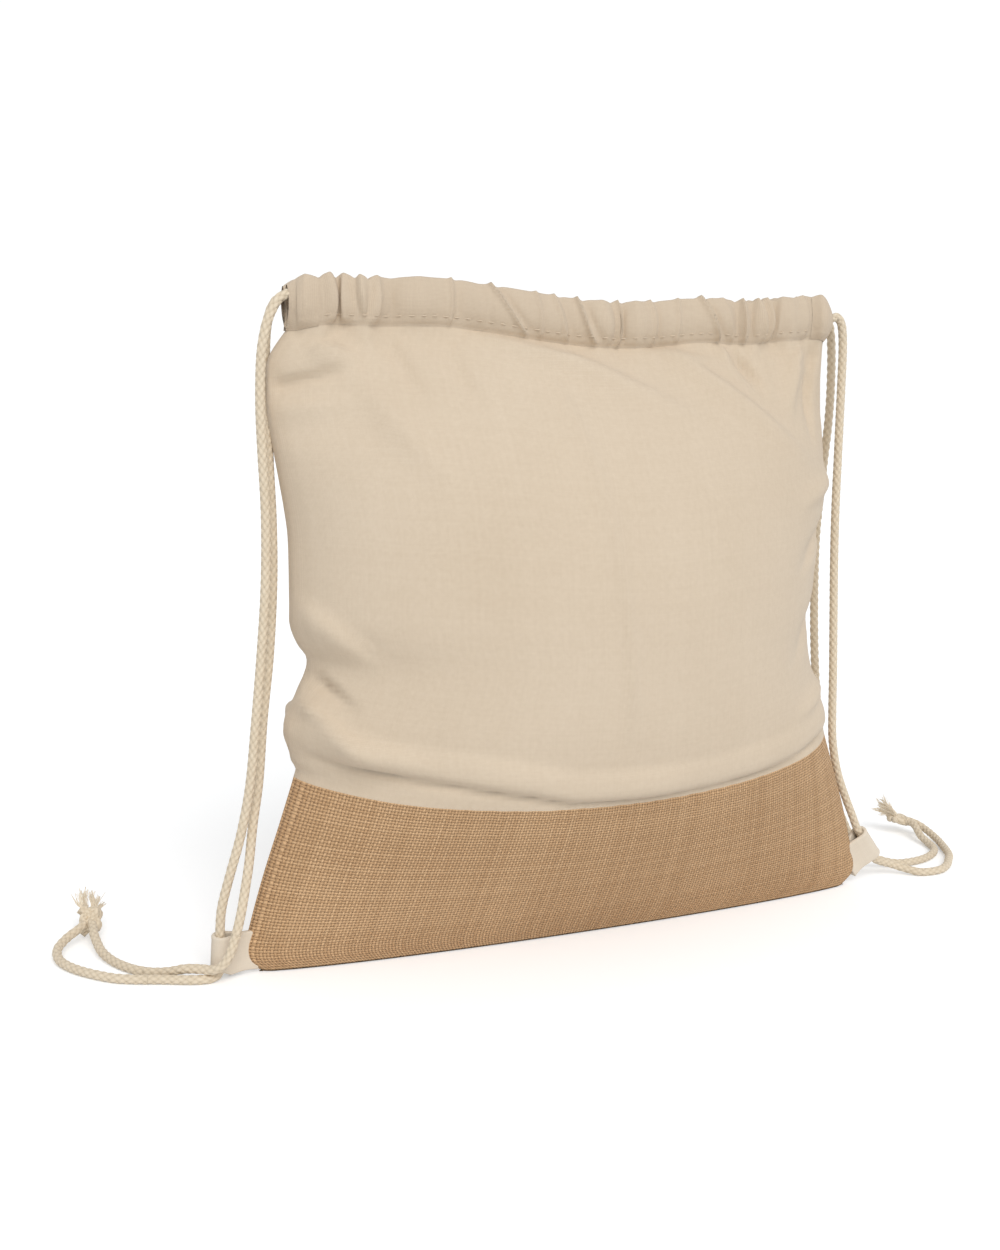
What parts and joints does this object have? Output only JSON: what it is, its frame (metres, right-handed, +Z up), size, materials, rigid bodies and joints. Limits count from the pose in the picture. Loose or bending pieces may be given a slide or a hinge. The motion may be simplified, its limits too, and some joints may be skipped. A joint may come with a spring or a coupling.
{
  "type": "drawstring backpack",
  "caption": "Cotton drawstring backpack with a jute base band; two cords run through a mouth channel and corner tabs to knotted, frayed ends.",
  "frame": {"origin": "the floor under the middle of the bag, on the middle plane between the front and back panels", "axes": "+X along the bag's width towards its right side, the front panel faces -Y, +Z up towards the mouth"},
  "size_m": [0.5714, 0.1831, 0.35],
  "materials": {
    "jute": "plain-woven natural jute",
    "cotton": "unbleached cotton, matte",
    "thread": "cotton sewing thread",
    "tab": "folded cotton twill",
    "cord": "braided cotton cord",
    "tassel": "frayed cotton fibres"
  },
  "bodies": {
    "bag": {"jute_front": "jute", "jute_back": "jute", "cotton_front": "cotton", "cotton_back": "cotton", "front_waist_seam": "jute", "back_waist_seam": "jute", "left_side_seam": "cotton", "right_side_seam": "cotton", "bottom_seam": "jute", "front_channel": "cotton", "back_channel": "cotton", "front_channel_stitching": "thread", "back_channel_stitching": "thread", "left_tab": "tab", "right_tab": "tab", "left_cord_run": "cord", "right_cord_run": "cord", "left_strap_tabbed": "cord", "left_strap_free": "cord", "right_strap_tabbed": "cord", "right_strap_free": "cord"},
    "left_mouth_corner": {"left_channel_hem": "cotton"},
    "right_mouth_corner": {"right_channel_hem": "cotton"},
    "left_tail": {"left_tail_tabbed": "cord", "left_tail_free": "cord"},
    "right_tail": {"right_tail_tabbed": "cord", "right_tail_free": "cord"},
    "left_tied_end": {"left_knot": "cord", "left_tassel": "tassel"},
    "right_tied_end": {"right_knot": "cord", "right_tassel": "tassel"}
  },
  "joints": [
    {"name": "left_mouth_gather", "type": "slide", "parent": "bag", "child": "left_mouth_corner", "axis": [1, 0, 0], "range_m": [0, 0.035], "deforming": ["front_channel", "back_channel", "front_channel_stitching", "back_channel_stitching", "left_cord_run", "right_cord_run", "left_strap_tabbed", "left_strap_free"]},
    {"name": "right_mouth_gather", "type": "slide", "parent": "bag", "child": "right_mouth_corner", "axis": [-1, 0, 0], "range_m": [0, 0.035], "deforming": ["front_channel", "back_channel", "front_channel_stitching", "back_channel_stitching", "left_cord_run", "right_cord_run", "right_strap_tabbed", "right_strap_free"]},
    {"name": "left_tail_swing", "type": "hinge", "parent": "bag", "child": "left_tail", "pos_m": [-0.2004, 0, 0], "axis": [0, 0, 1], "range_deg": [-25, 60], "deforming": ["left_tail_tabbed", "left_tail_free"]},
    {"name": "right_tail_swing", "type": "hinge", "parent": "bag", "child": "right_tail", "pos_m": [0.2037, 0.00295, 0], "axis": [0, 0, 1], "range_deg": [-60, 25], "deforming": ["right_tail_tabbed", "right_tail_free"]},
    {"name": "left_cord_pull", "type": "slide", "parent": "left_tail", "child": "left_tied_end", "axis": [-0.552, 0.8339, 0], "range_m": [0, 0.07], "deforming": ["left_tail_tabbed", "left_tail_free"]},
    {"name": "right_cord_pull", "type": "slide", "parent": "right_tail", "child": "right_tied_end", "axis": [0.7309, 0.6825, 0], "range_m": [0, 0.07], "deforming": ["right_tail_tabbed", "right_tail_free"]}
  ],
  "couplings": [
    {"joint": "left_mouth_gather", "follows": "left_cord_pull", "ratio": 0.5},
    {"joint": "right_mouth_gather", "follows": "right_cord_pull", "ratio": 0.5}
  ]
}
